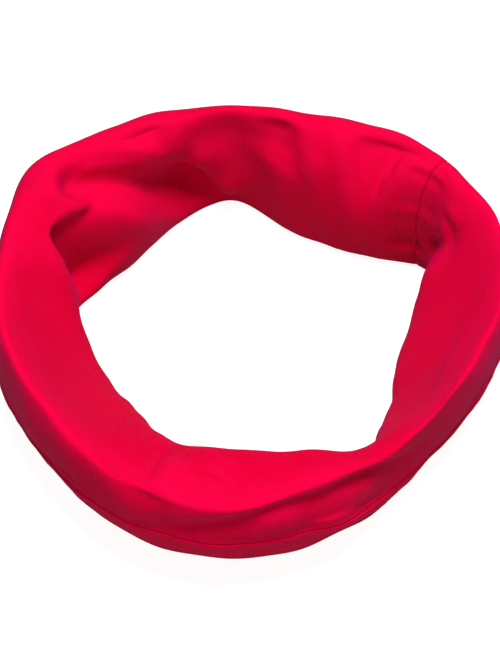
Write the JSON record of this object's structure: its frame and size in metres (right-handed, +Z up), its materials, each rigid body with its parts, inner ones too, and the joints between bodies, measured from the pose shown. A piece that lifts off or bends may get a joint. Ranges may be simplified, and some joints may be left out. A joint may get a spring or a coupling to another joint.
{
  "type": "sports headband",
  "caption": "Wide stretch-knit sports headband: a soft turned tube of cloth sewn into a loop, resting on its edge with the head opening upright.",
  "frame": {"origin": "on the resting surface, under the middle of the headband's box", "axes": "+Z up, along the axis of the head opening; -Y towards the forehead side; +X to the right seen from the forehead side"},
  "size_m": [0.1594, 0.1576, 0.048],
  "materials": {
    "knit_fabric": "matte fine-gauge polyester and elastane knit, bright pinkish red",
    "sewing_thread": "matched textured polyester sewing thread"
  },
  "bodies": {
    "root": {"knit_strip": "knit_fabric", "long_seam_needle_thread": "sewing_thread", "long_seam_upper_looper_thread": "sewing_thread", "long_seam_lower_looper_thread": "sewing_thread", "cross_seam_needle_thread": "sewing_thread", "cross_seam_upper_looper_thread": "sewing_thread", "cross_seam_lower_looper_thread": "sewing_thread", "closing_thread": "sewing_thread"}
  },
  "joints": []
}
